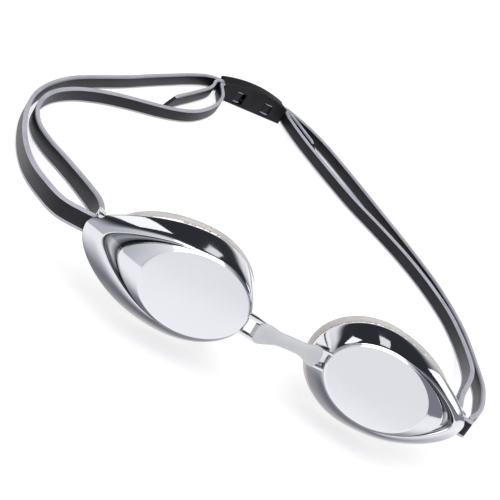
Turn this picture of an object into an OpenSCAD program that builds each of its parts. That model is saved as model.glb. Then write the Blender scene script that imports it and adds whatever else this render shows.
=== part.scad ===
// Racing swim goggles, lying on a table with their strap spread out behind them.
// Two mirrored lens cups with silicone gaskets clip to a soft nose bridge.  One long
// two-colour silicone band loops round a post on each cup and meets in a moulded back clip.
// Millimetres.  Seen from the front +X is to the right, the lenses face -Y, +Z is up.
// Each cup is drawn in its own frame: x away from the nose, y back from the optic face, z up.

/* [Lens cups] */
// Half length of the flat optic face
optic_a = 17.6; // [15:0.1:20]
// Half height of the flat optic face
optic_b = 12; // [10:0.1:14]
// Distance between the centres of the two optic faces
optic_spacing = 64.5; // [58:0.5:76]
// Wall thickness of a moulded cup
cup_wall = 1.5; // [1.2:0.1:2]
// Depth from the optic face to the gasket flange
cup_depth = 13; // [10:0.5:16]
// How far the flange stands outside the optic face at the nose, top and bottom
cup_flare = 4; // [3:0.1:6]
// Length of the wing beyond the end of the optic face
wing_reach = 17.9; // [16:0.1:22]
// How much further back the wing tip is than the flange
wing_sweep = 2; // [0:0.5:5]
// How high the wing tip is above the middle of the optic face
wing_lift = 1; // [0:0.5:4]
// Depth of the crest of the wing at the end of its teardrop recess
crest_drop = 9.3; // [7:0.1:11]
// Backward lean of the cups
cup_tilt = 14; // [0:1:18]
// Turn of the left cup about the upright axis, plus when its outer end swings back
left_turn = -1.8; // [-10:0.2:6]
// Turn of the right cup about the upright axis, plus when its outer end swings back
right_turn = -9.8; // [-12:0.2:6]
// Height of the middle of the optic faces above the table
optic_height = 23.1; // [22:0.1:28]

/* [Gaskets] */
// Depth of the soft gasket behind the flange
gasket_depth = 5; // [4:0.5:8]
// How far the gasket's sealing lip stands outside the flange
gasket_lip = 0.7; // [0.5:0.1:1.5]

/* [Nose bridge] */
// Radius of the eye bar that a bridge hook snaps round
eye_bar_r = 1.1; // [0.8:0.1:1.5]
// Inside height of the eye that a bridge hook fits
eye_height = 4.6; // [4:0.2:7]
// Distance from the end of the optic face to the eye bar's axis
eye_reach = 5.2; // [4.5:0.1:7]
// Radial clearance between a hook and its eye bar
hook_clearance = 0.06; // [0.02:0.01:0.1]
// Wall thickness of a bridge hook
hook_wall = 1.6; // [1.2:0.1:2]
// Height of the middle of the bridge's arch above its hooks
bridge_arch = 1.6; // [0:0.1:4]

/* [Strap] */
// Width of the silicone band
band_width = 6.5; // [5:0.1:8]
// Thickness of the silicone band
band_thick = 1.6; // [1.2:0.1:2]
// Half width of the flat temple post that the band loops round
post_half_width = 1; // [0.8:0.1:1.2]
// Half depth of the temple post
post_half_depth = 2; // [1.8:0.1:3]
// Clearance between the band and what it passes round or through
band_clearance = 0.1; // [0.05:0.05:0.3]

/* [Back clip] */
// Length of the back clip
clip_length = 39; // [32:1:44]
// Height of the clip at its ends
clip_end_height = 9; // [8.8:0.1:12]
// Extra height of the clip in the middle
clip_crown = 2.8; // [0:0.1:4]
// Wall thickness of the clip
clip_wall = 1.1; // [0.9:0.1:1.5]
// Radius of the bar inside each clip window
clip_bar_r = 0.7; // [0.6:0.1:1]
// Distance between the centres of the two windows
window_spacing = 17; // [14:0.5:18]
// Width of a clip window
window_width = 5.4; // [4:0.1:6]
// Turn of the clip about the upright axis, where the strap lies askew
clip_turn = 20; // [-20:1:20]

/* [Hidden] */

ring_sides = 56;
gap = 0.3;
strand_gap = 0.9;
eps = 0.01;

// Where the cups, the clip and the whole part stand
bridge_x = -5.3;
bridge_y = -126.84;
optic_y = 1.8;
clip_x = 1.5;
clip_y = 244;

// Egg-shaped outlines of the cup, each [reach away from the nose, reach to the nose,
// half height, how much the far end narrows above, the same below, lift of the far end,
// how far the whole outline is below the middle of the optic face]
flange_drop = 1.1;
flange_out = [optic_a + 11, optic_a + cup_flare, optic_b + cup_flare + 1.3, 0, 0, 0.9, flange_drop];
wing_tip = optic_a + wing_reach;
wing_edge = [wing_tip, flange_out[1], flange_out[2], 0.4, 0.1, wing_lift + flange_drop, flange_drop];
crest_edge = [wing_tip - 5.6, optic_a + 0.8, optic_b + 0.9, 0.4, 0.4, wing_lift + 0.1, 0];
groove_edge = [wing_tip - 6.6, optic_a + 0.65, optic_b + 0.75, 0.38, 0.38, wing_lift + 0.1, 0];
step_foot = [wing_tip - 10.6, optic_a + 0.55, optic_b + 0.65, 0.22, 0.22, wing_lift - 0.4, 0];
step_edge = [wing_tip - 11.1, optic_a + 0.45, optic_b + 0.55, 0.2, 0.2, wing_lift - 0.5, 0];
optic_edge = [optic_a, optic_a, optic_b, 0, 0, 0, 0];
flange_in = grown(flange_out, -cup_wall);
lip_edge = grown(flange_out, gasket_lip);
lip_inner = grown(flange_in, -2.2);
flange_back = cup_depth + 1.2;
wing_back = cup_depth + wing_sweep;

// The temple post and the band round it.  The band goes from the front leg round the side
// of the post that faces the nose; how far the rear leg turns on differs on the two sides
bend_r = post_half_width + band_clearance + band_thick / 2;
post_x = lip_edge[0] + gap + band_thick / 2 + bend_r;
post_y = wing_back + 1.3 + band_thick + band_clearance + post_half_depth;
post_z = wing_lift;
front_leg = 3.2;
left_rear_turn = 8;
right_rear_turn = 62;
ear_gap = band_width / 2 + 0.35;

// The nose-side eye
eye_x = -(optic_a + eye_reach);
eye_y = -0.5;
eye_z = -0.8;
hook_r = eye_bar_r + hook_clearance;
bridge_half_height = eye_height / 2 - 0.25;

// Layers of band inside the clip, from the face side to the back
bar_layer = clip_bar_r + 0.05 + band_thick / 2;
centre_layer = bar_layer + band_thick + 0.25;
face_y = -(bar_layer + band_thick / 2 + band_clearance);
back_y = centre_layer + band_thick / 2 + band_clearance;
clip_mid_z = clip_end_height / 2;

// Routes of the four strands between the posts and the clip, in the goggles' own frame
left_front_route = [
    [-76, 20, 18.7], [-83, 30, 16.5], [-88, 42, 13.6], [-92.5, 62, 9.1], [-95.5, 84.5, 5],
    [-96.8, 101.5, 3.4], [-96.3, 115.5, 3.3], [-93, 130, 3.3], [-86.5, 146, 3.3], [-75.5, 163.5, 3.3],
    [-63.5, 181, 3.3], [-53.5, 197, 3.4], [-43.5, 212, 3.7], [-34.5, 225, 4.1], [-25.5, 236, 4.4]];
left_rear_route = [
    [-65.3, 34.5, 16.9], [-69, 43.5, 15], [-73.5, 52, 13.3], [-78.5, 61, 11.4],
    [-85.2, 75.5, 7.5], [-90.5, 90, 4.3], [-93.2, 101, 3.4], [-93.3, 113, 3.3], [-90.5, 125, 3.3],
    [-83, 138.5, 3.3], [-72.5, 150, 3.3], [-60.5, 159.5, 3.3], [-50, 166.5, 3.3], [-40.5, 173.5, 3.3],
    [-31.5, 182.5, 3.4], [-24.3, 194.5, 3.5], [-18.8, 208.5, 3.8], [-16.4, 221, 4.2],
    [-17.2, 231, 4.4]];
right_front_route = [
    [73.5, 16, 19], [80, 24.5, 17.1], [87, 36, 14.4], [93.5, 49, 11.5], [100.5, 65, 8],
    [105, 81, 5], [107.2, 94, 3.4], [107.3, 106.5, 3.3], [105.8, 120, 3.3], [99.5, 144, 3.3],
    [87.5, 169.5, 3.3], [73, 195, 3.4], [58.5, 218, 3.9], [46, 236, 4.3], [34.5, 247.5, 4.5]];
right_rear_route = [
    [72.5, 24.5, 17.6], [76, 33, 17], [82.5, 45, 15.6], [91.5, 62.5, 12], [98.5, 79.5, 7.7],
    [102.8, 96, 4.5], [103.6, 108.5, 3.4], [101.5, 122.5, 3.3], [95, 140, 3.3], [85.5, 157, 3.3],
    [73, 173, 3.3], [58.5, 189, 3.4], [44.5, 208, 3.8], [32, 227, 4.2], [26.8, 236.5, 4.4],
    [23, 245, 4.5]];
left_tail_route = [
    [-21.2, 234.5, 4.5], [-21.6, 229, 4.5], [-24, 221, 4.3], [-29.5, 209.5, 4],
    [-37.5, 194, 3.6], [-45, 179, 3.4]];
right_tail_route = [
    [23.6, 251.2, 4.5], [27.2, 246, 4.5], [31.8, 238, 4.4], [37, 229, 4.2], [42.5, 220, 4]];

// ---- small helpers ----

function unit(v) = v / norm(v);
function ramp(x, from, to) = pow(max(0, (x - from) / (to - from)), 1.5);
function along(a, b, t) = a + (b - a) * t;

// An egg-shaped outline made larger all round
function grown(e, d) = [e[0] + d, e[1] + d, e[2] + d, e[3], e[4], e[5], e[6]];

// A point of an egg-shaped outline at an angle, as [x, z]
function egg(e, t) =
    let (c = cos(t), far = max(0, c), narrow = sin(t) > 0 ? e[3] : e[4])
    [(c > 0 ? e[0] : e[1]) * c,
        e[2] * sin(t) * (1 - narrow * far * far) + e[5] * far * far - e[6]];

// A ring of points on an egg outline; its depth goes from y0 to y1 towards the far end
function ring(e, y0, y1, from = 0) =
    [for (k = [0:ring_sides - 1])
        let (p = egg(e, -360 * k / ring_sides))
        [p[0], y0 + (y1 - y0) * ramp(p[0], from, e[0]), p[1]]];

// A closed solid through a list of rings, with flat ends
module loft(rings) {
    n = len(rings[0]);
    last = (len(rings) - 1) * n;
    sides = [for (r = [0:len(rings) - 2], k = [0:n - 1])
        let (a = r * n + k, b = r * n + (k + 1) % n)
        each [[a, a + n, b], [b, a + n, b + n]]];
    polyhedron(
        points = [for (r = rings) each r],
        faces = concat([[for (k = [0:n - 1]) k]], sides, [[for (k = [n - 1:-1:0]) last + k]]),
        convexity = 6);
}

// A point of the curve through p1 and p2 with neighbours p0 and p3
function curve(p0, p1, p2, p3, t) =
    0.5 * (2 * p1 + (p2 - p0) * t + (2 * p0 - 5 * p1 + 4 * p2 - p3) * t * t
        + (3 * p1 - p0 - 3 * p2 + p3) * t * t * t);

// A smooth path through points, with steps points to each stretch
function smooth(p, steps = 3) =
    let (n = len(p), q = concat([2 * p[0] - p[1]], p, [2 * p[n - 1] - p[n - 2]]))
    concat([for (k = [0:n - 2], s = [0:steps - 1]) curve(q[k], q[k + 1], q[k + 2], q[k + 3], s / steps)],
        [p[n - 1]]);

// A flat band along a path; its width starts along the vector lean and turns upright
module band(path, lean = [0, 0, 1], turn_over = 12) {
    n = len(path);
    rings = [for (k = [0:n - 1])
        let (
            t = unit(path[min(k + 1, n - 1)] - path[max(k - 1, 0)]),
            w0 = along(lean, [0, 0, 1], min(1, k / turn_over)),
            w = unit(w0 - (w0 * t) * t) * band_width / 2,
            m = unit(cross(t, w)) * band_thick / 2)
        [path[k] + w + m, path[k] - w + m, path[k] - w - m, path[k] + w - m]];
    loft(rings);
}

// ---- frames ----

module whole() translate([bridge_x, bridge_y, 0]) children();

// side is -1 on the left and 1 on the right
module cup_frame(side)
    whole() mirror([side < 0 ? 1 : 0, 0, 0])
        translate([optic_spacing / 2, optic_y, optic_height])
            rotate([0, 0, cup_turn(side)]) rotate([-cup_tilt, 0, 0]) children();

module clip_frame() whole() translate([clip_x, clip_y, 0]) rotate([0, 0, clip_turn]) children();

// The same moves as functions, for the strand ends
function cup_turn(side) = side < 0 ? left_turn : right_turn;
function tip(p) =
    [p[0], p[1] * cos(cup_tilt) + p[2] * sin(cup_tilt), p[2] * cos(cup_tilt) - p[1] * sin(cup_tilt)];
function spin(p, a) = [p[0] * cos(a) - p[1] * sin(a), p[0] * sin(a) + p[1] * cos(a), p[2]];
function sided(p, side) = [side * p[0], p[1], p[2]];
function cup_vector(p, side) = sided(spin(tip(p), cup_turn(side)), side);
function cup_point(p, side) = cup_vector(p, side) + [side * optic_spacing / 2, optic_y, optic_height];
function clip_point(p) = spin(p, clip_turn) + [clip_x, clip_y, 0];

// ---- lens cups ----

module cup_body() {
    d = cup_depth;
    shoulder = [for (k = [0:6]) along(crest_edge[k], wing_edge[k], 0.55)];
    loft([
        ring(optic_edge, 0, 0),
        ring(grown(optic_edge, 0.35), 0.35, 0.35),
        ring(step_edge, 0.5, crest_drop * 0.45, 4),
        ring(step_foot, 0.65, crest_drop * 0.8, 4),
        ring(groove_edge, 0.8, crest_drop + 1.2, 4),
        ring(crest_edge, 0.95, crest_drop, 4),
        ring(shoulder, d * 0.5, crest_drop + 3.2, 12),
        ring(wing_edge, d, wing_back, 14),
        ring(grown(wing_edge, -0.3), flange_back, wing_back + 1.1, 14),
        ring(flange_out, flange_back, flange_back),
        ring(flange_in, flange_back, flange_back),
        ring(flange_in, d - 1, d - 1),
        ring(grown(optic_edge, -1), cup_wall, cup_wall)]);
}

// Two ears behind the wing tip hold the upright temple post
module temple_post() {
    ear_h = 1.1;
    for (s = [-1, 1])
        translate([0, 0, post_z + s * (ear_gap + ear_h / 2)])
            linear_extrude(ear_h, center = true)
                polygon([
                    [post_x - post_half_width - 1, wing_back - 1.4],
                    [post_x + post_half_width, wing_back - 1],
                    [post_x + post_half_width, post_y + post_half_depth - 0.6],
                    [post_x + post_half_width - 0.7, post_y + post_half_depth],
                    [post_x - post_half_width + 0.5, post_y + post_half_depth],
                    [post_x - post_half_width, post_y + post_half_depth - 0.5]]);
    translate([post_x, post_y, post_z])
        linear_extrude(2 * ear_gap + 2 * eps, center = true)
            stadium(post_half_width, post_half_depth);
}

// A flat bar with round edges, half width a and half depth b
module stadium(a, b) {
    square([2 * a, 2 * (b - a)], center = true);
    for (s = [-1, 1])
        translate([0, s * (b - a)]) circle(a, $fn = 40);
}

// The nose-side eye: two arms and the upright bar that the bridge hooks round
module nose_eye() {
    arm = 1.1;
    for (s = [-1, 1])
        translate([0, 0, eye_z + s * (eye_height + arm) / 2])
            linear_extrude(arm, center = true) {
                translate([eye_x, eye_y]) circle(eye_bar_r + 0.4, $fn = 40);
                polygon([
                    [eye_x, eye_y - eye_bar_r - 0.4],
                    [-optic_a + 1.5, 0.6],
                    [-optic_a + 0.5, 6],
                    [eye_x, eye_y + eye_bar_r + 0.4]]);
            }
    translate([eye_x, eye_y, eye_z]) cylinder(r = eye_bar_r, h = eye_height + eps, center = true, $fn = 40);
}

module lens() {
    cup_body();
    temple_post();
    nose_eye();
}

module left_lens() color("silver") cup_frame(-1) lens();
module right_lens() color("silver") cup_frame(1) lens();

// ---- gaskets ----

// A soft ring: a grip against the flange, a waist and a sealing lip, hollow through the middle
module gasket() {
    y0 = flange_back + 0.02;
    d = gasket_depth;
    difference() {
        loft([
            ring(flange_out, y0, y0),
            ring(flange_out, y0 + d * 0.3, y0 + d * 0.3),
            ring(grown(flange_out, -0.4), y0 + d * 0.4, y0 + d * 0.4),
            ring(lip_edge, y0 + d * 0.55, y0 + d * 0.55),
            ring(lip_edge, y0 + d * 0.85, y0 + d * 0.85),
            ring(grown(lip_edge, -0.9), y0 + d, y0 + d)]);
        loft([
            ring(lip_inner, y0 - 1, y0 - 1),
            ring(lip_inner, y0 + d * 0.6, y0 + d * 0.6),
            ring(grown(lip_inner, 1.6), y0 + d + 1, y0 + d + 1)]);
    }
}

module left_gasket() color("gainsboro") cup_frame(-1) gasket();
module right_gasket() color("gainsboro") cup_frame(1) gasket();

// ---- nose bridge ----

// One hook: a sleeve open towards the back, snapped round an eye bar
module bridge_hook(side)
    cup_frame(side) translate([eye_x, eye_y, eye_z])
        difference() {
            cylinder(r = hook_r + hook_wall, h = 2 * bridge_half_height, center = true, $fn = 48);
            cylinder(r = hook_r, h = 2 * bridge_half_height + 1, center = true, $fn = 48);
            linear_extrude(2 * bridge_half_height + 1, center = true)
                polygon([[0.6, 0], [3.4, 4], [-0.4, 6]]);
        }

module nose_bridge() color("white") {
    for (side = [-1, 1])
        bridge_hook(side);
    whole() bridge_arch_body();
}

// The arch between the hooks, a loft of rounded sections
module bridge_arch_body() {
    ends = [for (side = [-1, 1]) cup_point([eye_x, eye_y, eye_z], side) - [side * (hook_r + 0.5), 0, 0]];
    steps = 12;
    sides = 20;
    function section(s) =
        let (
            rise = 1 - (2 * s - 1) * (2 * s - 1),
            c = along(ends[0], ends[1], s) + [0, -1.2 * rise - 0.2, bridge_arch * rise],
            h = bridge_half_height * (1 - 0.25 * rise),
            d = 1.6 - 0.25 * rise)
        [for (k = [0:sides - 1])
            let (a = 360 * k / sides)
            c + [0, d * cos(a), h * sign(sin(a)) * pow(abs(sin(a)), 0.7)]];
    loft([for (k = [0:steps]) section(k / steps)]);
}

// ---- strap ----

// The path of the band round a temple post, from the front leg's end to the rear leg's
function corner(y, from, to) =
    [for (k = [0:6])
        let (a = along(from, to, k / 6))
        [post_x + bend_r * cos(a), y + bend_r * sin(a), post_z]];
function rear_turn(side) = side < 0 ? left_rear_turn : right_rear_turn;
function rear_way(side) = [sin(rear_turn(side)), cos(rear_turn(side)), 0];
function loop_path(side) =
    let (
        flat = post_half_depth - post_half_width,
        front = corner(post_y - flat, 270, 180),
        rear = corner(post_y + flat, 180, 180 - rear_turn(side)))
    concat([front[0] + [front_leg, 0, 0]], front, rear, [rear[6] + 1.5 * rear_way(side)]);

module strap_loop(side)
    whole() band([for (p = loop_path(side)) cup_point(p, side)], cup_vector([0, 0, 1], side), 1000);

module left_strap_loop() color("dimgray") strap_loop(-1);
module right_strap_loop() color("dimgray") strap_loop(1);

// A strand from a leg of the loop, along its route, to a layer at one end of the clip
module strand(side, front, route, layer) {
    path = loop_path(side);
    leg = front ? path[0] : path[len(path) - 1];
    way = front ? [1, 0, 0] : rear_way(side);
    start = [for (d = [strand_gap, 3.5]) cup_point(leg + d * way, side)];
    finish = [for (d = [front ? 3 : 1.2, strand_gap])
        clip_point([side * (clip_length / 2 + d), layer, clip_mid_z])];
    whole() band(smooth(concat(start, route, finish)), cup_vector([0, 0, 1], side));
}

module left_front_strand() color("dimgray") strand(-1, true, left_front_route, centre_layer);
module left_rear_strand() color("dimgray") strand(-1, false, left_rear_route, -bar_layer);
module right_front_strand() color("dimgray") strand(1, true, right_front_route, centre_layer);
module right_rear_strand() color("dimgray") strand(1, false, right_rear_route, -bar_layer);

// A free end of the band, from the clip to its cut end
module strap_tail(side, route) {
    start = [for (d = [strand_gap, 1.6]) clip_point([side * (clip_length / 2 + d), bar_layer, clip_mid_z])];
    whole() band(smooth(concat(start, route)));
}

module left_strap_tail() color("dimgray") strap_tail(-1, left_tail_route);
module right_strap_tail() color("dimgray") strap_tail(1, right_tail_route);

// The stretch of band that runs straight through the clip
module clip_centre_run() color("dimgray") clip_frame()
    translate([0, centre_layer, clip_mid_z]) cube([clip_length, band_thick, band_width], center = true);

// The band folded round the bar in one window, with both legs out of the clip's end
module clip_turn_band(side) {
    outer = bar_layer + band_thick / 2;
    inner = bar_layer - band_thick / 2;
    reach = (clip_length - window_spacing) / 2;
    clip_frame() translate([side * window_spacing / 2, 0, clip_mid_z])
        linear_extrude(band_width, center = true)
            difference() {
                union() {
                    circle(outer, $fn = 48);
                    translate([side > 0 ? 0 : -reach, -outer]) square([reach, 2 * outer]);
                }
                circle(inner, $fn = 48);
                translate([side > 0 ? 0 : -reach - 1, -inner]) square([reach + 1, 2 * inner]);
            }
}

module left_clip_turn() color("dimgray") clip_turn_band(-1);
module right_clip_turn() color("dimgray") clip_turn_band(1);

// ---- back clip ----

// Outline of the clip's plates: flat foot, crowned top
module clip_plate(wall) {
    r = (clip_length * clip_length / 4 + clip_crown * clip_crown) / (2 * clip_crown);
    linear_extrude(wall)
        intersection() {
            translate([-clip_length / 2, 0]) square([clip_length, clip_end_height + clip_crown]);
            translate([0, clip_end_height + clip_crown - r]) circle(r, $fn = 160);
        }
}

module back_clip() color("black") clip_frame() {
    channel = band_width / 2 + 0.2;
    difference() {
        translate([0, face_y, 0]) rotate([90, 0, 0]) clip_plate(clip_wall);
        for (s = [-1, 1])
            translate([s * window_spacing / 2, face_y - clip_wall / 2, clip_mid_z])
                cube([window_width, 2 * clip_wall, band_width - 1], center = true);
    }
    translate([0, back_y + clip_wall, 0]) rotate([90, 0, 0]) clip_plate(clip_wall);
    // foot and head of the channel, joined to both plates
    translate([-clip_length / 2 + 1, face_y - eps, 0])
        cube([clip_length - 2, back_y - face_y + 2 * eps, clip_mid_z - channel]);
    translate([-clip_length / 2 + 1, face_y - eps, clip_mid_z + channel])
        cube([clip_length - 2, back_y - face_y + 2 * eps, clip_mid_z - channel]);
    for (s = [-1, 1])
        translate([s * window_spacing / 2, 0, clip_mid_z])
            cylinder(r = clip_bar_r, h = 2 * channel + 2 * eps, center = true, $fn = 32);
}

nose_bridge();
left_lens();
right_lens();
left_gasket();
right_gasket();
left_strap_loop();
right_strap_loop();
left_front_strand();
left_rear_strand();
right_front_strand();
right_rear_strand();
back_clip();
clip_centre_run();
left_clip_turn();
right_clip_turn();
left_strap_tail();
right_strap_tail();
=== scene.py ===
import bpy
import bmesh
import math
from mathutils import Matrix, Quaternion, Vector


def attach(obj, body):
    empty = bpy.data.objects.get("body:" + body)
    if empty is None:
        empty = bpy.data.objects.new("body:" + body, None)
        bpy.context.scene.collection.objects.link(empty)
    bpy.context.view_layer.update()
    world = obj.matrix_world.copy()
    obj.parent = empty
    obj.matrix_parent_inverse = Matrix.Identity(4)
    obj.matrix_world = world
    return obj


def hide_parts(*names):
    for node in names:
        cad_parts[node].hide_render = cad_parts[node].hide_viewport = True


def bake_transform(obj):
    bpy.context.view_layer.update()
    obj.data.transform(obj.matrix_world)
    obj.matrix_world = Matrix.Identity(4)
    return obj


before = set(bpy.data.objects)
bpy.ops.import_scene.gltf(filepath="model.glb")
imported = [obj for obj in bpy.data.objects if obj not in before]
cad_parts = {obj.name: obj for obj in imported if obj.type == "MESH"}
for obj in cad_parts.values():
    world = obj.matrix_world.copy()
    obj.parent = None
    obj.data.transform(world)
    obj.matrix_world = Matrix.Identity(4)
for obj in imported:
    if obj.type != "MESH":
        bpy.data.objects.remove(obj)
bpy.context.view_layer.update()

mm = 0.001  # shapes are laid out in millimetres and come down to metres at the end
goggles = {
    "shift": (-5.3, -126.84, 0),  # from the nose bridge to the frame's origin
    "opticSpacing": 64.5,
    "opticDepth": 1.8,
    "opticHeight": 23.1,
    "lean": 14,
    "turn": {-1: -1.8, 1: -9.8},  # the two cups lie turned a little differently
}
sides = {-1: "left", 1: "right"}


def cupPlace(side):
    return (Matrix.Diagonal((side, 1, 1, 1))
            @ Matrix.Translation((goggles["opticSpacing"] / 2, goggles["opticDepth"], goggles["opticHeight"]))
            @ Matrix.Rotation(math.radians(goggles["turn"][side]), 4, "Z")
            @ Matrix.Rotation(math.radians(-goggles["lean"]), 4, "X"))


def blendIn(value, low, high):  # 0 below low, 1 above high, smooth between
    t = min(1, max(0, (value - low) / (high - low)))
    return t * t * (3 - 2 * t)


def mixed(a, b, t):
    return a + (b - a) * t


# a shader socket that maths can be written on
class Wire:
    def __init__(self, tree, socket=None):
        self.tree, self.socket = tree, socket

    def node(self, kind, settings=None, inputs=None, out=0):
        made = self.tree.nodes.new(kind)
        for name, value in (settings or {}).items():
            if name == "stops":
                ramp = made.color_ramp
                while len(ramp.elements) < len(value):
                    ramp.elements.new(0.5)
                for stop, (place, colour) in zip(ramp.elements, value):
                    stop.position, stop.color = place, colour
            else:
                setattr(made, name, value)
        for name, value in (inputs or {}).items():
            if isinstance(value, Wire):
                self.tree.links.new(value.socket, made.inputs[name])
            else:
                made.inputs[name].default_value = value
        return Wire(self.tree, made.outputs[out])

    def maths(self, operation, *values):
        return self.node("ShaderNodeMath", {"operation": operation}, dict(enumerate(values)))

    def __add__(self, other):
        return self.maths("ADD", self, other)

    def __mul__(self, other):
        return self.maths("MULTIPLY", self, other)

    def __sub__(self, other):
        return self.maths("SUBTRACT", self, other)

    def __rsub__(self, other):
        return self.maths("SUBTRACT", other, self)

    __radd__, __rmul__ = __add__, __mul__

    def size(self):
        return self.maths("ABSOLUTE", self)

    def step(self, low, high, start=0.0, end=1.0):  # smooth step between two values
        return self.node("ShaderNodeMapRange", {"interpolation_type": "SMOOTHSTEP"},
                         {"Value": self, "From Min": low, "From Max": high, "To Min": start, "To Max": end})

    def tint(self, low, high):  # this value mixes two colours
        return self.node("ShaderNodeMix", {"data_type": "RGBA"}, {0: self, 6: low, 7: high}, 2)


def rgb(red, green, blue):
    return (red, green, blue, 1.0)


def noiseAt(start, place, scale, detail=3.0, rough=0.55):
    return start.node("ShaderNodeTexNoise", None,
                      {"Vector": place, "Scale": scale, "Detail": detail, "Roughness": rough}, "Fac")


def newFinish(name, constants):
    material = bpy.data.materials.new(name)
    material.use_nodes = True
    tree = material.node_tree
    shader = tree.nodes["Principled BSDF"]
    for socket, value in constants.items():
        shader.inputs[socket].default_value = value
    start = Wire(tree)
    place = start.node("ShaderNodeTexCoord", out="Object")
    return material, shader, start, place


def plug(shader, **wires):
    names = {"colour": "Base Color", "roughness": "Roughness", "normal": "Normal"}
    for key, wire in wires.items():
        wire.tree.links.new(wire.socket, shader.inputs[names[key]])


def bumpFrom(height, distance):
    return height.node("ShaderNodeBump", None, {"Height": height, "Distance": distance}, "Normal")


# bright and shaded are a lit and a painted-shade copy of the mirror coat colour, and the recess colour is
# painted shade in the steps
mirrorCoat = {
    "bright": rgb(0.73, 0.735, 0.765), "shaded": rgb(0.11, 0.112, 0.14),
    "recess": rgb(0.035, 0.037, 0.045), "roughness": (0.05, 0.11),
}


def lensFinish():
    material, shader, start, place = newFinish("mirrorCoatedLens", {"Metallic": 1.0, "Roughness": 0.07})
    normal = start.node("ShaderNodeNewGeometry", out="Normal")
    upright = start.node("ShaderNodeSeparateXYZ", None, {"Vector": normal}, "Z")
    paintedShadeBelow = upright.step(0.05, -0.5)  # painted shade: the coat colour is darker on the walls that face down
    haze = noiseAt(start, place, 55.0)
    # painted shade in the step recesses, read from the mesh
    recess = start.node("ShaderNodeAttribute", {"attribute_name": "recess"}, out="Fac")
    # painted shade: the lit coat colour is mixed with its shaded copy on the walls that face down
    coatWithPaintedShade = paintedShadeBelow.tint(mirrorCoat["bright"], mirrorCoat["shaded"])
    plug(shader,
         colour=recess.tint(coatWithPaintedShade, mirrorCoat["recess"]),
         roughness=haze.step(0.3, 0.7, *mirrorCoat["roughness"]),
         normal=bumpFrom(noiseAt(start, place, 900.0), 0.000004))
    return material


def innerLensFinish():
    material, shader, start, place = newFinish("lensInside", {"Coat Weight": 0.5, "Coat Roughness": 0.05})
    cloud = noiseAt(start, place, 80.0)
    plug(shader,
         colour=cloud.step(0.3, 0.7).tint(rgb(0.22, 0.23, 0.27), rgb(0.30, 0.31, 0.35)),
         roughness=cloud.step(0.3, 0.7, 0.08, 0.16),
         normal=bumpFrom(noiseAt(start, place, 500.0), 0.000004))
    return material


def gasketFinish():
    material, shader, start, place = newFinish("gasketSilicone", {
        "Subsurface Weight": 0.35, "Subsurface Scale": 0.003, "Specular IOR Level": 0.45})
    shader.inputs["Subsurface Radius"].default_value = (1.0, 0.85, 0.7)
    cloud = noiseAt(start, place, 120.0)
    plug(shader,
         colour=cloud.step(0.25, 0.75).tint(rgb(0.52, 0.49, 0.46), rgb(0.60, 0.575, 0.55)),
         roughness=cloud.step(0.25, 0.75, 0.34, 0.46),
         normal=bumpFrom(noiseAt(start, place, 1800.0), 0.00001))
    return material


def bridgeFinish():
    material, shader, start, place = newFinish("frostedBridge", {
        "Subsurface Weight": 0.4, "Subsurface Scale": 0.002, "Specular IOR Level": 0.35})
    shader.inputs["Subsurface Radius"].default_value = (0.9, 0.95, 1.0)
    cloud = noiseAt(start, place, 160.0)
    plug(shader,
         colour=cloud.step(0.25, 0.75).tint(rgb(0.50, 0.51, 0.525), rgb(0.55, 0.56, 0.575)),
         roughness=cloud.step(0.25, 0.75, 0.5, 0.62),
         normal=bumpFrom(noiseAt(start, place, 2600.0), 0.000015))
    return material


bandColours = {
    "core": rgb(0.007, 0.007, 0.009), "coreWorn": rgb(0.013, 0.013, 0.016),
    "edge": rgb(0.47, 0.47, 0.53), "edgeDull": rgb(0.40, 0.40, 0.46),
    "coreShare": 0.72,  # of the band's half width
}


def bandFinish():
    material, shader, start, place = newFinish("twoColourBand", {"Specular IOR Level": 0.28})
    across = start.node("ShaderNodeAttribute", {"attribute_name": "across"}, out="Fac").size()
    border = noiseAt(start, place, 700.0)
    edge = (across + border * 0.03).step(bandColours["coreShare"], bandColours["coreShare"] + 0.04)
    wear = noiseAt(start, place, 90.0).step(0.35, 0.7)
    grain = noiseAt(start, place, 2200.0)
    dark = wear.tint(bandColours["core"], bandColours["coreWorn"])
    light = wear.tint(bandColours["edge"], bandColours["edgeDull"])
    plug(shader,
         colour=edge.tint(dark, light),
         roughness=grain.step(0.2, 0.8, 0.36, 0.52) + edge * 0.06,
         normal=bumpFrom(grain * 0.6 + edge * 0.5, 0.00004))
    return material


def clipFinish():
    material, shader, start, place = newFinish("clipPlastic", {"Specular IOR Level": 0.22})
    grain = noiseAt(start, place, 2400.0, 4.0)
    cloud = noiseAt(start, place, 140.0)
    plug(shader,
         colour=cloud.step(0.3, 0.7).tint(rgb(0.008, 0.008, 0.010), rgb(0.013, 0.013, 0.016)),
         roughness=grain.step(0.2, 0.8, 0.42, 0.58),
         normal=bumpFrom(grain, 0.00003))
    return material


finishes = {
    "lens": lensFinish(), "lensInside": innerLensFinish(), "gasket": gasketFinish(),
    "bridge": bridgeFinish(), "strap": bandFinish(), "clip": clipFinish(),
}
print("finishes made")


# rings of vertices, each pulled out of the one before
def startRing(bm, places):
    ring = bmesh.ops.create_circle(bm, segments=len(places), radius=1)["verts"]
    for vert, place in zip(ring, places):
        vert.co = place
    return ring


def loopOf(bm, ring):
    return [bm.edges.get((ring[k - 1], ring[k])) for k in range(len(ring))]


def nextRing(bm, ring, places):
    made = bmesh.ops.extrude_edge_only(bm, edges=loopOf(bm, ring))["geom"]
    fresh = {v for v in made if isinstance(v, bmesh.types.BMVert)}
    ahead = [next(e.other_vert(v) for e in v.link_edges if e.other_vert(v) in fresh) for v in ring]
    for vert, place in zip(ahead, places):
        vert.co = place
    return ahead


def creaseLoop(bm, ring, amount):
    layer = bm.edges.layers.float.get("crease_edge") or bm.edges.layers.float.new("crease_edge")
    for edge in loopOf(bm, ring):
        edge[layer] = amount


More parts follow.
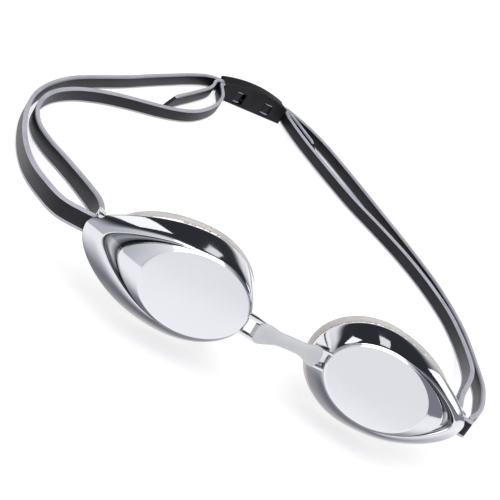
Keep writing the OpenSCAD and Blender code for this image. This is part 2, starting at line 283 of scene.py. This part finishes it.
def skinThrough(bm, rings, creases=None):  # a closed skin through rings of places
    rows = [startRing(bm, rings[0])]
    for places in rings[1:]:
        rows.append(nextRing(bm, rows[-1], places))
    for end in (rows[0], rows[-1]):
        bmesh.ops.edgeloop_fill(bm, edges=loopOf(bm, end))
    for k, amount in (creases or {}).items():
        creaseLoop(bm, rows[k], amount)
    return rows


def plateOf(bm, outline, low, high):  # a flat outline in x and y, raised from low to high in z
    verts = [bm.verts.new((x, y, low)) for x, y in outline]
    face = bmesh.ops.contextual_create(bm, geom=verts)["faces"]
    top = bmesh.ops.extrude_face_region(bm, geom=face)["geom"]
    bmesh.ops.translate(bm, vec=(0, 0, high - low), verts=[v for v in top if isinstance(v, bmesh.types.BMVert)])


def finishPiece(bm, name, place, materials, level=0, bevel=0, recalc=True, tidy=True):
    if tidy:
        bmesh.ops.remove_doubles(bm, verts=bm.verts[:], dist=0.001)
    bm.transform(Matrix.Diagonal((mm, mm, mm, 1)) @ Matrix.Translation(goggles["shift"]) @ place)
    if recalc:
        bmesh.ops.recalc_face_normals(bm, faces=bm.faces[:])
    for face in bm.faces:
        face.smooth = True
    mesh = bpy.data.meshes.new(name)
    bm.to_mesh(mesh)
    bm.free()
    piece = bpy.data.objects.new(name, mesh)
    bpy.context.scene.collection.objects.link(piece)
    for key in materials:
        mesh.materials.append(finishes[key])
    if bevel:
        edge = piece.modifiers.new("roundedEdges", "BEVEL")
        edge.width, edge.segments = bevel * mm, 2
        edge.limit_method, edge.angle_limit = "ANGLE", math.radians(35)
    if level:
        soft = piece.modifiers.new("smoothSkin", "SUBSURF")
        soft.levels = soft.render_levels = level
    return piece


def sharpen(piece, angle=35):  # sharp edges where faces meet steeply, so smooth shading stays clean
    bm = bmesh.new()
    bm.from_mesh(piece.data)
    for edge in bm.edges:
        edge.smooth = len(edge.link_faces) == 2 and edge.calc_face_angle(0) < math.radians(angle)
    bm.to_mesh(piece.data)
    bm.free()


# outlines of a cup, all egg shapes about the optic's middle
cup = {
    "opticA": 17.6, "opticB": 12, "wall": 1.5, "depth": 13, "wingReach": 17.9, "wingSweep": 2,
    "crestDrop": 9.3, "segments": 96,
}
wingTip = cup["opticA"] + cup["wingReach"]


def egg(far, near, half, top, bottom, lift, drop):
    return {"far": far, "near": near, "half": half, "top": top, "bottom": bottom, "lift": lift, "drop": drop}


eggs = {
    "optic": egg(cup["opticA"], cup["opticA"], cup["opticB"], 0, 0, 0, 0),
    "step": egg(wingTip - 11.1, 18.05, cup["opticB"] + 0.55, 0.2, 0.2, 0.5, 0),
    "stepFoot": egg(wingTip - 10.6, 18.15, cup["opticB"] + 0.65, 0.22, 0.22, 0.6, 0),
    "groove": egg(wingTip - 6.6, 18.25, cup["opticB"] + 0.75, 0.38, 0.38, 1.1, 0),
    "crest": egg(wingTip - 5.6, 18.4, cup["opticB"] + 0.9, 0.4, 0.4, 1.1, 0),
    "wing": egg(wingTip, 21.6, cup["opticB"] + 5.3, 0.4, 0.1, 2.1, 1.1),
    "flange": egg(28.6, 21.6, cup["opticB"] + 5.3, 0, 0, 0.9, 1.1),
}


def grown(shape, by):
    return {**shape, "far": shape["far"] + by, "near": shape["near"] + by, "half": shape["half"] + by}


def between(a, b, t):
    return {key: mixed(a[key], b[key], t) for key in a}


def eggRing(shape, near, far, start=0.0):  # near and far are its depths at the nose and at the wing
    places = []
    for k in range(cup["segments"]):
        angle = 2 * math.pi * k / cup["segments"]
        c, s = math.cos(angle), math.sin(angle)
        reach = max(0, c)
        narrow = shape["top"] if s > 0 else shape["bottom"]
        x = (shape["far"] if c > 0 else shape["near"]) * c
        z = shape["half"] * s * (1 - narrow * reach ** 2) + shape["lift"] * reach ** 2 - shape["drop"]
        ramp = max(0, (x - start) / (shape["far"] - start)) ** 1.5
        places.append(Vector((x, mixed(near, far, ramp), z)))
    return places


flangeBack = cup["depth"] + 1.2
wingBack = cup["depth"] + cup["wingSweep"]


# the post holds the band, and the eye holds the nose bridge
post = {"x": 32.3, "y": 20.0, "z": 1.0, "halfWidth": 1.0, "halfDepth": 2.0, "gap": 3.6, "ear": 1.1}
eye = {"x": -22.8, "y": -0.5, "z": -0.8, "barR": 1.1, "height": 4.6, "arm": 1.1}


def lensShell(bm):
    d, drop = cup["depth"], cup["crestDrop"]
    recess = bm.verts.layers.float.new("recess")  # painted shade: how dark the coat is painted on the walls of the steps
    innerOptic = grown(eggs["optic"], -1)
    innerFlange = grown(eggs["flange"], -cup["wall"])
    rings = [
        eggRing(grown(eggs["optic"], -2.5), 0, 0),
        eggRing(eggs["optic"], 0, 0),
        eggRing(grown(eggs["optic"], 0.3), 0.22, 0.22),
        eggRing(between(eggs["optic"], eggs["step"], 0.5), 0.36, drop * 0.2, 4),
        eggRing(eggs["step"], 0.5, drop * 0.45, 4),
        eggRing(eggs["stepFoot"], 0.65, drop * 0.8, 4),
        eggRing(between(eggs["stepFoot"], eggs["groove"], 0.5), 0.72, drop * 0.97, 4),
        eggRing(eggs["groove"], 0.8, drop + 1.2, 4),
        eggRing(eggs["crest"], 0.95, drop, 4),
        eggRing(between(eggs["crest"], eggs["wing"], 0.28), d * 0.22, drop + 1.1, 8),
        eggRing(between(eggs["crest"], eggs["wing"], 0.6), d * 0.52, drop + 3.2, 12),
        eggRing(between(eggs["crest"], eggs["wing"], 0.88), d * 0.82, drop + 4.9, 13),
        eggRing(eggs["wing"], d, wingBack, 14),
        eggRing(grown(eggs["wing"], -0.3), flangeBack, wingBack + 1.1, 14),
        eggRing(eggs["flange"], flangeBack, flangeBack),
        eggRing(innerFlange, flangeBack, flangeBack),
        eggRing(innerFlange, d - 1, d - 1),
        eggRing(innerOptic, cup["wall"], cup["wall"]),
        eggRing(grown(innerOptic, -2), cup["wall"], cup["wall"]),
    ]
    creases = {1: 0.9, 2: 0.5, 4: 0.9, 5: 0.6, 7: 0.8, 8: 0.85, 12: 0.7, 13: 0.8, 14: 0.9, 15: 0.9, 17: 0.8}
    rows = skinThrough(bm, rings, creases)
    inside = {vert for row in rows[15:] for vert in row}
    # painted shade on the walls of the steps, strongest on the wing side
    for row, amount in ((4, 0.0), (5, 1.0), (6, 0.35), (7, 0.9), (8, 0.0)):
        for k, vert in enumerate(rows[row]):
            vert[recess] = amount * blendIn(math.cos(2 * math.pi * k / cup["segments"]), -0.1, 0.55)
    for face in bm.faces:
        face.material_index = 1 if all(v in inside for v in face.verts) else 0


def roundPlate(bm, outline, low, high, bevel):
    first = set(bm.verts)
    plateOf(bm, outline, low, high)
    fresh = [e for e in bm.edges if not (set(e.verts) & first)]
    bmesh.ops.bevel(bm, geom=fresh, offset=bevel, affect="EDGES", segments=2, profile=0.5, material=-1)


def lensFittings(bm):
    # ears and flat post for the band
    for s in (-1, 1):
        middle = post["z"] + s * (post["gap"] + post["ear"] / 2)
        x, w, back = post["x"], post["halfWidth"], post["y"] + post["halfDepth"]
        roundPlate(bm, [(x - w - 1, wingBack - 1.4), (x + w, wingBack - 1), (x + w, back - 0.6),
                        (x + w - 0.7, back), (x - w + 0.5, back), (x - w, back - 0.5)],
                   middle - post["ear"] / 2, middle + post["ear"] / 2, 0.25)
    outline = []
    for k in range(24):
        angle = 2 * math.pi * k / 24
        offset = (post["halfDepth"] - post["halfWidth"]) * (1 if math.sin(angle) > 0 else -1)
        outline.append((post["x"] + post["halfWidth"] * math.cos(angle),
                        post["y"] + offset + post["halfWidth"] * math.sin(angle)))
    plateOf(bm, outline, post["z"] - post["gap"], post["z"] + post["gap"])
    # arms and bar of the eye for the bridge
    for s in (-1, 1):
        middle = eye["z"] + s * (eye["height"] + eye["arm"]) / 2
        r = eye["barR"] + 0.4
        nose = [(eye["x"] - r * math.sin(math.radians(a)), eye["y"] + r * math.cos(math.radians(a)))
                for a in (25, 50, 75, 100, 125, 150)]
        roundPlate(bm, nose + [(eye["x"], eye["y"] - r), (-cup["opticA"] + 1.5, 0.6), (-cup["opticA"] + 0.5, 6),
                               (eye["x"] + 0.2, eye["y"] + r)],
                   middle - eye["arm"] / 2, middle + eye["arm"] / 2, 0.2)
    bar = bmesh.ops.create_cone(bm, cap_ends=True, segments=28, radius1=eye["barR"], radius2=eye["barR"],
                                depth=eye["height"] + 0.4)["verts"]
    bmesh.ops.translate(bm, vec=(eye["x"], eye["y"], eye["z"]), verts=bar)


for side, word in sides.items():
    bm = bmesh.new()
    lensShell(bm)
    shell = finishPiece(bm, word + "LensCup", cupPlace(side), ["lens", "lensInside"], level=2)
    bm = bmesh.new()
    lensFittings(bm)
    fittings = finishPiece(bm, word + "LensFittings", cupPlace(side), ["lens"], tidy=False)
    sharpen(fittings)
    for piece in (shell, fittings):
        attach(piece, word + "_cup")
    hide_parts(word + "_lens")
print("lens cups made")


gasket = {"lip": 0.7, "seat": 0.02, "width": 3.7}


def gasketRing(bm):
    base, y = eggs["flange"], flangeBack + gasket["seat"]
    lip = grown(base, gasket["lip"])
    inner = grown(base, -gasket["width"])
    profile = [
        (grown(base, -1.2), 0), (grown(base, 0.0), 0.02), (grown(base, 0.12), 0.7), (grown(base, -0.05), 1.45),
        (grown(base, -0.75), 1.85), (grown(base, -0.1), 2.25), (grown(lip, 0), 3.0), (grown(lip, 0.05), 3.8),
        (grown(lip, -0.35), 4.6), (grown(lip, -1.0), 5.0), (grown(inner, 2.2), 4.75), (grown(inner, 0.8), 3.9),
        (inner, 2.6), (inner, 0.6), (grown(inner, 0.4), 0),
    ]
    rows = [startRing(bm, eggRing(profile[0][0], y + profile[0][1], y + profile[0][1]))]
    for shape, back in profile[1:]:
        rows.append(nextRing(bm, rows[-1], eggRing(shape, y + back, y + back)))
    bmesh.ops.bridge_loops(bm, edges=loopOf(bm, rows[-1]) + loopOf(bm, rows[0]))
    creaseLoop(bm, rows[1], 0.6)
    creaseLoop(bm, rows[4], 0.5)


for side, word in sides.items():
    bm = bmesh.new()
    gasketRing(bm)
    piece = finishPiece(bm, word + "Gasket", cupPlace(side), ["gasket"], level=1)
    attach(piece, word + "_cup")
    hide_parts(word + "_gasket")
print("gaskets made")


bridge = {
    "pad": 3.45, "waist": 2.15, "thick": 1.25, "waistThick": 1.35, "front": 1.75, "arch": 1.6, "past": 2.2,
    "hookWall": 1.6, "hookHalf": 2.05, "clearance": 0.06, "stations": 28, "around": 24,
}


def bridgeBody(bm):
    ends, aheads, ups = [], [], []
    for side in (-1, 1):
        place = cupPlace(side)
        ends.append(place @ Vector((eye["x"] + bridge["past"], eye["y"] - bridge["front"], eye["z"])))
        turn = place.to_3x3()
        aheads.append(turn @ Vector((0, 1, 0)))
        ups.append(turn @ Vector((0, 0, 1)))
    rings = []
    for k in range(bridge["stations"] + 1):
        s = k / bridge["stations"]
        s = 0.5 - 0.5 * math.cos(math.pi * s)  # closer together at the ends
        rise = 1 - (2 * s - 1) ** 2
        centre = ends[0].lerp(ends[1], s) + Vector((0, -0.9 * rise, bridge["arch"] * rise))
        up = ups[0].lerp(ups[1], s).normalized()
        ahead = aheads[0].lerp(aheads[1], s).normalized()
        out = abs(2 * s - 1)
        tall = mixed(bridge["waist"], bridge["pad"], blendIn(out, 0.3, 0.8))
        deep = mixed(bridge["waistThick"], bridge["thick"], out)
        end = (out - 0.8) / 0.2
        if end > 0:  # rounded ends of the pads
            tall *= math.sqrt(max(0.0, 1 - (0.97 * end) ** 2.6))
            deep *= math.sqrt(max(0.0, 1 - (0.95 * end) ** 4))
        ring = []
        for a in range(bridge["around"]):
            c, z = math.cos(2 * math.pi * a / bridge["around"]), math.sin(2 * math.pi * a / bridge["around"])
            ring.append(centre + ahead * deep * math.copysign(abs(c) ** 0.8, c)
                        + up * tall * math.copysign(abs(z) ** 0.8, z))
        rings.append(ring)
    skinThrough(bm, rings)


def bridgeHook(bm, side):  # a sleeve open towards the back, snapped round the eye bar
    inner = eye["barR"] + bridge["clearance"]
    wide = inner + bridge["hookWall"] * 0.75
    half = bridge["hookHalf"]
    corners = ((inner, -half), (wide, -half + 0.2), (wide, half - 0.2), (inner, half))
    section = [bm.verts.new((r, 0, z)) for r, z in corners]
    face = bmesh.ops.contextual_create(bm, geom=section)["faces"]
    bmesh.ops.rotate(bm, cent=(0, 0, 0), matrix=Matrix.Rotation(math.radians(125), 3, "Z"), verts=section)
    bmesh.ops.spin(bm, geom=face + section + face[0].edges[:], cent=(0, 0, 0), axis=(0, 0, 1),
                   angle=math.radians(300), steps=30, use_merge=False)
    bmesh.ops.transform(bm, matrix=cupPlace(side) @ Matrix.Translation((eye["x"], eye["y"], eye["z"])),
                        verts=bm.verts[:])


bm = bmesh.new()
bridgeBody(bm)
bridgePiece = finishPiece(bm, "noseBridge", Matrix(), ["bridge"], level=1)
hooks = []
for side, word in sides.items():
    bm = bmesh.new()
    bridgeHook(bm, side)
    hook = finishPiece(bm, word + "BridgeHook", Matrix(), ["bridge"], tidy=False)
    sharpen(hook)
    hooks.append(hook)
for piece in (bridgePiece, *hooks):
    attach(piece, "bridge")
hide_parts("nose_bridge")
print("nose bridge made")


band = {"half": 3.25, "thick": 0.8, "corner": 0.34, "clearance": 0.1, "step": 0.9}
clip = {
    "x": 1.5, "y": 244, "turn": 20, "length": 39, "endHeight": 9, "crown": 2.8, "wall": 1.1, "barR": 0.7,
    "windowSpacing": 17, "windowWidth": 5.4, "windowHeight": 6.3, "barLayer": 1.55, "centreLayer": 3.4,
    "middle": 4.5, "channel": 3.45,
}
clipHalf = clip["length"] / 2
clipPlace = Matrix.Translation((clip["x"], clip["y"], 0)) @ Matrix.Rotation(math.radians(clip["turn"]), 4, "Z")

# where the band runs, in millimetres from the bridge
routes = {
    "leftFront": [
        (-76, 20, 18.7), (-83, 30, 16.5), (-88, 42, 13.6), (-92.5, 62, 9.1), (-95.5, 84.5, 5),
        (-96.8, 101.5, 3.4), (-96.3, 115.5, 3.3), (-93, 130, 3.3), (-86.5, 146, 3.3), (-75.5, 163.5, 3.3),
        (-63.5, 181, 3.3), (-53.5, 197, 3.4), (-43.5, 212, 3.7), (-34.5, 225, 4.1), (-25.5, 236, 4.4)],
    "leftRear": [
        (-65.3, 34.5, 16.9), (-69, 43.5, 15), (-73.5, 52, 13.3), (-78.5, 61, 11.4), (-85.2, 75.5, 7.5),
        (-90.5, 90, 4.3), (-93.2, 101, 3.4), (-93.3, 113, 3.3), (-90.5, 125, 3.3), (-83, 138.5, 3.3),
        (-72.5, 150, 3.3), (-60.5, 159.5, 3.3), (-50, 166.5, 3.3), (-40.5, 173.5, 3.3), (-31.5, 182.5, 3.4),
        (-24.3, 194.5, 3.5), (-18.8, 208.5, 3.8), (-16.4, 221, 4.2), (-17.2, 231, 4.4)],
    "rightFront": [
        (73.5, 16, 19), (80, 24.5, 17.1), (87, 36, 14.4), (93.5, 49, 11.5), (100.5, 65, 8), (105, 81, 5),
        (107.2, 94, 3.4), (107.3, 106.5, 3.3), (105.8, 120, 3.3), (99.5, 144, 3.3), (87.5, 169.5, 3.3),
        (73, 195, 3.4), (58.5, 218, 3.9), (46, 236, 4.3), (34.5, 247.5, 4.5)],
    "rightRear": [
        (72.5, 24.5, 17.6), (76, 33, 17), (82.5, 45, 15.6), (91.5, 62.5, 12), (98.5, 79.5, 7.7),
        (102.8, 96, 4.5), (103.6, 108.5, 3.4), (101.5, 122.5, 3.3), (95, 140, 3.3), (85.5, 157, 3.3),
        (73, 173, 3.3), (58.5, 189, 3.4), (44.5, 208, 3.8), (32, 227, 4.2), (26.8, 236.5, 4.4), (23, 245, 4.5)],
    "leftTail": [
        (-21.2, 234.5, 4.5), (-21.6, 229, 4.5), (-24, 221, 4.3), (-29.5, 209.5, 4), (-37.5, 194, 3.6),
        (-45, 179, 3.4)],
    "rightTail": [
        (23.6, 251.2, 4.5), (27.2, 246, 4.5), (31.8, 238, 4.4), (37, 229, 4.2), (42.5, 220, 4)],
}
rearTurn = {-1: 8, 1: 62}  # how far the rear leg turns round the post
# y from the bridge where a bend starts and ends, and where the band is cut
zones = {"cup": (22, 38, 42), "swing": (48, 94, 99.5), "clip": (108, 226)}
clipStart = 232  # y past which the band keeps straight for the clip
cornerSteps = 6  # round the post


def curveThrough(points, step):
    points = [Vector(p) for p in points]
    ends = [points[0] * 2 - points[1], *points, points[-1] * 2 - points[-2]]
    dense = []
    for k in range(1, len(ends) - 2):
        p0, p1, p2, p3 = ends[k - 1:k + 3]
        t1 = max(1e-4, (p1 - p0).length) ** 0.5
        t2 = t1 + max(1e-4, (p2 - p1).length) ** 0.5
        t3 = t2 + max(1e-4, (p3 - p2).length) ** 0.5
        for s in range(10):
            t = mixed(t1, t2, s / 10)
            a1 = p0 * ((t1 - t) / t1) + p1 * (t / t1)
            a2 = p1 * ((t2 - t) / (t2 - t1)) + p2 * ((t - t1) / (t2 - t1))
            a3 = p2 * ((t3 - t) / (t3 - t2)) + p3 * ((t - t2) / (t3 - t2))
            b1 = a1 * ((t2 - t) / t2) + a2 * (t / t2)
            b2 = a2 * ((t3 - t) / (t3 - t1)) + a3 * ((t - t1) / (t3 - t1))
            dense.append(b1 * ((t2 - t) / (t2 - t1)) + b2 * ((t - t1) / (t2 - t1)))
    dense.append(points[-1])
    lengths = [0]
    for a, b in zip(dense, dense[1:]):
        lengths.append(lengths[-1] + (b - a).length)
    count = max(2, round(lengths[-1] / step))
    even, k = [], 0
    for n in range(count + 1):
        want = lengths[-1] * n / count
        while k < len(lengths) - 2 and lengths[k + 1] < want:
            k += 1
        even.append(dense[k].lerp(dense[k + 1], (want - lengths[k]) / max(1e-9, lengths[k + 1] - lengths[k])))
    return even


def relaxed(path, fixed, passes=12):
    for _ in range(passes):
        path = [path[0]] + [
            path[k] if fixed(path[k]) else path[k].lerp((path[k - 1] + path[k + 1]) / 2, 0.5)
            for k in range(1, len(path) - 1)] + [path[-1]]
    return path


def sectionPoints():  # rounded corners of the band's section, as (across, through)
    points = []
    r = band["corner"]
    for quarter, (u, v) in enumerate(((1, 1), (-1, 1), (-1, -1), (1, -1))):
        for a in (0, 30, 60, 90):
            angle = math.radians(quarter * 90 + a)
            points.append((u * (band["half"] - r) + r * math.cos(angle),
                           v * (band["thick"] - r) + r * math.sin(angle)))
        if quarter in (0, 2):
            points.append((0, v * band["thick"]))
    return points


def bandSkin(bm, path, ups, limit=None):
    layer = bm.verts.layers.float.get("across") or bm.verts.layers.float.new("across")
    ring = None
    for k, (place, up) in enumerate(zip(path, ups)):
        along = (path[min(k + 1, len(path) - 1)] - path[max(k - 1, 0)]).normalized()
        wide = (up - along * up.dot(along)).normalized()
        thick = along.cross(wide).normalized()
        section = sectionPoints()
        if limit:
            section = [(min(u, limit(k)), v) for u, v in section]
        places = [place + wide * u + thick * v for u, v in section]
        if ring is None:
            ring = startRing(bm, places)
            bmesh.ops.edgeloop_fill(bm, edges=loopOf(bm, ring))
        else:
            ring = nextRing(bm, ring, places)
        for vert, (u, v) in zip(ring, section):
            vert[layer] = u / band["half"]
    bmesh.ops.edgeloop_fill(bm, edges=loopOf(bm, ring))


def bandPiece(name, parts, nodes, place=Matrix()):  # parts are (path, ups) pairs
    bm = bmesh.new()
    for part in parts:
        bandSkin(bm, *part)
    piece = finishPiece(bm, name, place, ["strap"], tidy=False)
    sharpen(piece, 50)
    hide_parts(*nodes)
    return piece


def strandPath(side):
    word = sides[side]
    cupMatrix = cupPlace(side)
    bend = post["halfWidth"] + band["clearance"] + band["thick"]
    flat = post["halfDepth"] - post["halfWidth"]

    def corner(y, start, end):
        angles = [math.radians(mixed(start, end, k / cornerSteps)) for k in range(cornerSteps + 1)]
        return [Vector((post["x"] + bend * math.cos(a), y + bend * math.sin(a), post["z"])) for a in angles]

    front = corner(post["y"] - flat, 270, 180)
    rear = corner(post["y"] + flat, 180, 180 - rearTurn[side])
    way = Vector((math.sin(math.radians(rearTurn[side])), math.cos(math.radians(rearTurn[side])), 0))
    loop = ([front[0] + Vector((d, 0, 0)) for d in (5, 3.2)] + front
            + rear + [rear[-1] + way * d for d in (1.5, 3.3)])
    loop = [cupMatrix @ p for p in loop]

    def clipEnd(layer, distances):
        return [clipPlace @ Vector((side * (clipHalf + d), layer, clip["middle"])) for d in distances]

    points = (clipEnd(clip["centreLayer"], (0, 3)) + [Vector(p) for p in reversed(routes[word + "Front"])]
              + loop + [Vector(p) for p in routes[word + "Rear"]] + clipEnd(-clip["barLayer"], (1.2, 0)))
    middle = cupMatrix @ Vector((post["x"], post["y"], post["z"]))
    path = curveThrough(points, band["step"])
    path = relaxed(path, lambda p: (p - middle).length < 6 or p.y > clipStart)
    cupUp = cupMatrix.to_3x3() @ Vector((0, 0, 1))
    ups = [cupUp.lerp(Vector((0, 0, 1)), blendIn((p - middle).length, 5, 40)) for p in path]
    return path, ups


def stretchOf(path, ups, low, high):  # the part of a path between two indexes, both included
    return path[low:high + 1], ups[low:high + 1]


for side, word in sides.items():
    path, ups = strandPath(side)
    postAt = min(range(len(path)), key=lambda k: path[k].y)
    cut = {}
    for name, y in (("cup", zones["cup"][2]), ("swing", zones["swing"][2])):
        cut[name] = (max(k for k in range(postAt) if path[k].y > y),
                     min(k for k in range(postAt, len(path)) if path[k].y > y))
    loop = bandPiece(word + "PostBand", [stretchOf(path, ups, *cut["cup"])], [word + "_strap_loop"])
    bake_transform(loop)
    (cupFront, cupRear), (swingFront, swingRear) = cut["cup"], cut["swing"]
    for strand, node, ends in (
            ("Front", "_front_strand", ((swingFront, cupFront), (0, swingFront))),
            ("Rear", "_rear_strand", ((cupRear, swingRear), (swingRear, len(path) - 1)))):
        near = bandPiece(word + strand + "BandNear", [stretchOf(path, ups, *ends[0])], [word + node])
        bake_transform(near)
        far = bandPiece(word + strand + "BandFar", [stretchOf(path, ups, *ends[1])], [word + node])
        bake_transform(far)
print("strands made")

# the free ends are cut slantwise; from and until give two steps of their path
tailEnd = {"cutLength": 12.0, "cutLow": -2.4, "from": 4, "until": 16}

for side, word in sides.items():
    start = [clipPlace @ Vector((side * (clipHalf + d), clip["barLayer"], clip["middle"])) for d in (0, 1.6)]
    path = curveThrough(start + [Vector(p) for p in routes[word + "Tail"]], band["step"])
    path = relaxed(path, lambda p: (p - start[0]).length < 4)
    count = len(path) - 1

    def slant(k, count=count):
        left = (count - k) * band["step"]
        return mixed(tailEnd["cutLow"], band["half"], min(1, left / tailEnd["cutLength"]))

    tail = bandPiece(word + "FreeEnd", [(path, [Vector((0, 0, 1))] * len(path), slant)], [word + "_strap_tail"])
    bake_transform(tail)

# the band inside the clip
run = [Vector((x, clip["centreLayer"], clip["middle"])) for x in (-clipHalf, -10, 0, 10, clipHalf)]
insides = {"clipCentreRun": (run, ["clip_centre_run"])}
for side, word in sides.items():
    bar, layer = side * clip["windowSpacing"] / 2, clip["barLayer"]
    turn = []
    for degrees in range(0, 181, 15):
        a = math.radians(degrees)
        turn.append(Vector((bar - side * layer * math.sin(a), -layer * math.cos(a), clip["middle"])))
    end = side * clipHalf
    legs = [Vector((x, -layer, clip["middle"])) for x in (end, mixed(end, bar, 0.5))]
    back = [Vector((x, layer, clip["middle"])) for x in (mixed(end, bar, 0.5), end)]
    insides[word + "ClipTurn"] = (legs + turn + back, [word + "_clip_turn"])
for name, (path, nodes) in insides.items():
    piece = bandPiece(name, [(path, [Vector((0, 0, 1))] * len(path))], nodes, clipPlace)
    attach(piece, "clip")
print("free ends and clip turns made")


def crownAt(x):  # height of the clip's arched top
    r = (clip["length"] ** 2 / 4 + clip["crown"] ** 2) / (2 * clip["crown"])
    return clip["endHeight"] + clip["crown"] - r + math.sqrt(r * r - x * x)


def clipSlab(bm, xs, front, back, bottom, holes=()):  # a slab under the crown, with window openings
    sill = clip["middle"] - clip["windowHeight"] / 2
    rows = [bottom, *((sill, sill + clip["windowHeight"]) if holes else ()), None]
    made = bmesh.ops.create_grid(bm, x_segments=len(xs) - 1, y_segments=len(rows) - 1, size=1)["verts"]
    for vert in made:
        i = round((vert.co.x + 1) / 2 * (len(xs) - 1))
        j = round((vert.co.y + 1) / 2 * (len(rows) - 1))
        top = rows[j] if rows[j] is not None else crownAt(xs[i])
        vert.co = (xs[i], front, top)
    faces = list({f for v in made for f in v.link_faces})
    for face in faces[:]:
        middle = face.calc_center_median()
        if any(low < middle.x < high and sill < middle.z < sill + clip["windowHeight"] for low, high in holes):
            faces.remove(face)
            bm.faces.remove(face)
    pulled = bmesh.ops.extrude_face_region(bm, geom=faces)["geom"]
    bmesh.ops.translate(bm, vec=(0, back - front, 0),
                        verts=[v for v in pulled if isinstance(v, bmesh.types.BMVert)])


bm = bmesh.new()
faceY = -(clip["barLayer"] + band["thick"] + band["clearance"])
backY = clip["centreLayer"] + band["thick"] + band["clearance"]
barPlaces = [s * clip["windowSpacing"] / 2 for s in (-1, 1)]
windows = [(x - clip["windowWidth"] / 2, x + clip["windowWidth"] / 2) for x in barPlaces]
columns = sorted({-clipHalf, -17, -14, *windows[0], -3, 0, 3, *windows[1], 14, 17, clipHalf})
evenly = [k / 8 - 1 for k in range(17)]
clipSlab(bm, columns, faceY - clip["wall"], faceY, 0, windows)
clipSlab(bm, [clipHalf * t for t in evenly], backY, backY + clip["wall"], 0)
clipSlab(bm, [(clipHalf - 1) * t for t in evenly], faceY - 0.4, backY + 0.4, clip["middle"] + clip["channel"])
foot = bmesh.ops.create_cube(bm, size=1)["verts"]
sole = clip["middle"] - clip["channel"]
bmesh.ops.scale(bm, vec=(clip["length"] - 2, backY - faceY + 0.8, sole), verts=foot)
bmesh.ops.translate(bm, vec=(0, (backY + faceY) / 2, sole / 2), verts=foot)
for x in barPlaces:
    bar = bmesh.ops.create_cone(bm, cap_ends=True, segments=24, radius1=clip["barR"], radius2=clip["barR"],
                                depth=7)["verts"]
    bmesh.ops.translate(bm, vec=(x, 0, clip["middle"]), verts=bar)
clipPiece = finishPiece(bm, "backClip", clipPlace, ["clip"], bevel=0.35, tidy=False)
sharpen(clipPiece, 50)
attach(clipPiece, "clip")
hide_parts("back_clip")
print("clip made")


# the colours of the room that the mirror coat reflects, and its soft boxes
studio = {
    "floor": rgb(0.38, 0.38, 0.39), "floorPale": rgb(0.40, 0.40, 0.41), "pale": rgb(1.0, 1.0, 1.02),
    "side": rgb(0.58, 0.59, 0.64), "shaded": rgb(0.24, 0.245, 0.29), "dark": rgb(0.03, 0.033, 0.04),
    "boxes": [  # name, azimuth and height in degrees, distance, width, height, power
        ("boxAbove", 0, 82, 1.8, 1.5, 1.3, 16), ("boxBehindLeft", -150, 36, 1.5, 0.55, 0.42, 0.9),
        ("boxBehindRight", 163, 43, 1.5, 0.24, 0.5, 0.35), ("boxRight", 122, 12, 1.5, 0.7, 0.3, 0.9)],
}


def softBox(name, azimuth, elevation, distance, width, height, power):
    a, e = math.radians(azimuth), math.radians(elevation)
    place = Vector((math.sin(a) * math.cos(e), -math.cos(a) * math.cos(e), math.sin(e))) * distance
    lamp = bpy.data.lights.new(name, "AREA")
    lamp.shape, lamp.size, lamp.size_y, lamp.energy = "RECTANGLE", width, height, power
    holder = bpy.data.objects.new(name, lamp)
    bpy.context.scene.collection.objects.link(holder)
    holder.location = place
    holder.rotation_mode = "QUATERNION"
    holder.rotation_quaternion = (-place).to_track_quat("-Z", "Y")


bm = bmesh.new()
bmesh.ops.create_circle(bm, cap_ends=True, segments=64, radius=6)
floorMesh = bpy.data.meshes.new("studioFloor")
bm.to_mesh(floorMesh)
bm.free()
floor = bpy.data.objects.new("studioFloor", floorMesh)
bpy.context.scene.collection.objects.link(floor)
floorFinish, floorShader, start, place = newFinish("paleFloor", {
    "Roughness": 0.75, "Specular IOR Level": 0.1, "Emission Strength": 0.72})
floorShader.inputs["Emission Color"].default_value = rgb(1.0, 1.0, 1.0)  # keeps the shadows faint
plug(floorShader, colour=noiseAt(start, place, 3.0).tint(studio["floor"], studio["floorPale"]))
floorMesh.materials.append(floorFinish)

for box in studio["boxes"]:
    softBox(*box)

world = bpy.data.worlds.new("studioRoom")
bpy.context.scene.world = world
world.use_nodes = True
start = Wire(world.node_tree)
direction = start.node("ShaderNodeTexCoord", out="Generated")
sideways, back, up = [start.node("ShaderNodeSeparateXYZ", None, {"Vector": direction}, axis) for axis in "XYZ"]
walls = sideways.size().step(0.35, 0.9).tint(studio["pale"], studio["side"])
walls = sideways.step(0.45, 0.75).tint(walls, studio["shaded"])
far = back.step(0.05, 0.5) * up.step(0.10, 0.26)  # the far end of the room is dark above the lit wall
sky = far.tint(walls, studio["dark"])
background = world.node_tree.nodes["Background"]
world.node_tree.links.new(sky.socket, background.inputs["Color"])
background.inputs["Strength"].default_value = 1.0
bpy.context.scene.view_settings.view_transform = "Standard"

view = {
    "azimuth": -17.11, "elevation": 24.42, "roll": 35.62, "distance": 0.35955, "lens": 72.16,
    "target": (-11.08, -56.96, 12.2),
}
a, e = math.radians(view["azimuth"]), math.radians(view["elevation"])
backwards = Vector((math.sin(a) * math.cos(e), -math.cos(a) * math.cos(e), math.sin(e)))
camera = bpy.data.objects.new("camera", bpy.data.cameras.new("camera"))
bpy.context.scene.collection.objects.link(camera)
camera.data.lens, camera.data.sensor_width = view["lens"], 36
camera.data.clip_start, camera.data.clip_end = 0.01, 50
camera.location = Vector(view["target"]) * mm + backwards * view["distance"]
camera.rotation_mode = "QUATERNION"
rolled = Quaternion((0, 0, 1), math.radians(view["roll"]))
camera.rotation_quaternion = (-backwards).to_track_quat("-Z", "Y") @ rolled
bpy.context.scene.camera = camera
print("stage set")
